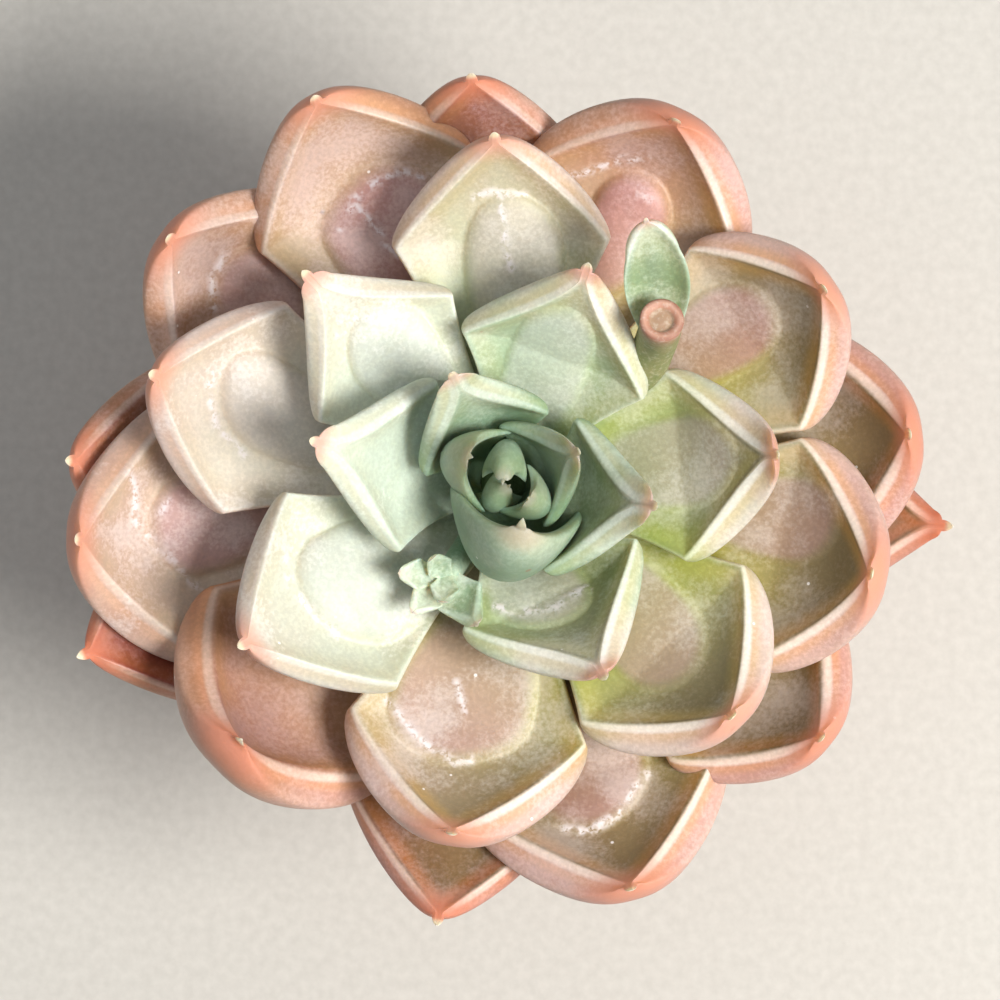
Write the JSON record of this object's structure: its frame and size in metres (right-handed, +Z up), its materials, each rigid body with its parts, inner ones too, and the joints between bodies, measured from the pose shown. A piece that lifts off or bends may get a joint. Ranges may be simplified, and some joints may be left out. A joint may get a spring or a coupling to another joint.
{
  "type": "potted echeveria",
  "caption": "Potted echeveria: a dense rosette of thick pointed mint and peach leaves on a short stem, in a plain round clay pot.",
  "frame": {"origin": "centre of the pot's flat base, on the surface it stands on", "axes": "+Z up along the pot's axis; the picture looks down -Z with its right along +X and its top along +Y"},
  "size_m": [0.0773, 0.074, 0.0758],
  "materials": {
    "leaf_inner": "matte",
    "leaf_middle": "satin",
    "leaf_outer": "satin",
    "bract_skin": "matte",
    "stalk_skin": "matte",
    "stem_bark": "matte",
    "soil_mix": "matte",
    "pot_clay": "matte"
  },
  "bodies": {
    "root": {"pot": "pot_clay", "soil": "soil_mix", "stem": "stem_bark", "leaf_01": "leaf_inner", "leaf_02": "leaf_inner", "leaf_03": "leaf_inner", "leaf_04": "leaf_inner", "leaf_05": "leaf_inner", "leaf_06": "leaf_inner", "leaf_07": "leaf_inner", "leaf_08": "leaf_inner", "leaf_09": "leaf_middle", "leaf_10": "leaf_middle", "leaf_11": "leaf_middle", "leaf_12": "leaf_middle", "leaf_13": "leaf_middle", "leaf_14": "leaf_middle", "leaf_15": "leaf_middle", "leaf_16": "leaf_middle", "leaf_17": "leaf_outer", "leaf_18": "leaf_outer", "leaf_19": "leaf_outer", "leaf_20": "leaf_outer", "leaf_21": "leaf_outer", "leaf_22": "leaf_outer", "leaf_23": "leaf_outer", "leaf_24": "leaf_outer", "leaf_25": "leaf_outer", "leaf_26": "leaf_outer", "leaf_27": "leaf_outer", "leaf_28": "leaf_outer", "leaf_29": "leaf_outer", "leaf_30": "leaf_outer", "leaf_31": "leaf_outer", "leaf_32": "leaf_outer", "leaf_33": "leaf_outer", "offset_bud": "leaf_inner", "flower_stalk": "stalk_skin", "stalk_bract": "bract_skin"}
  },
  "joints": []
}
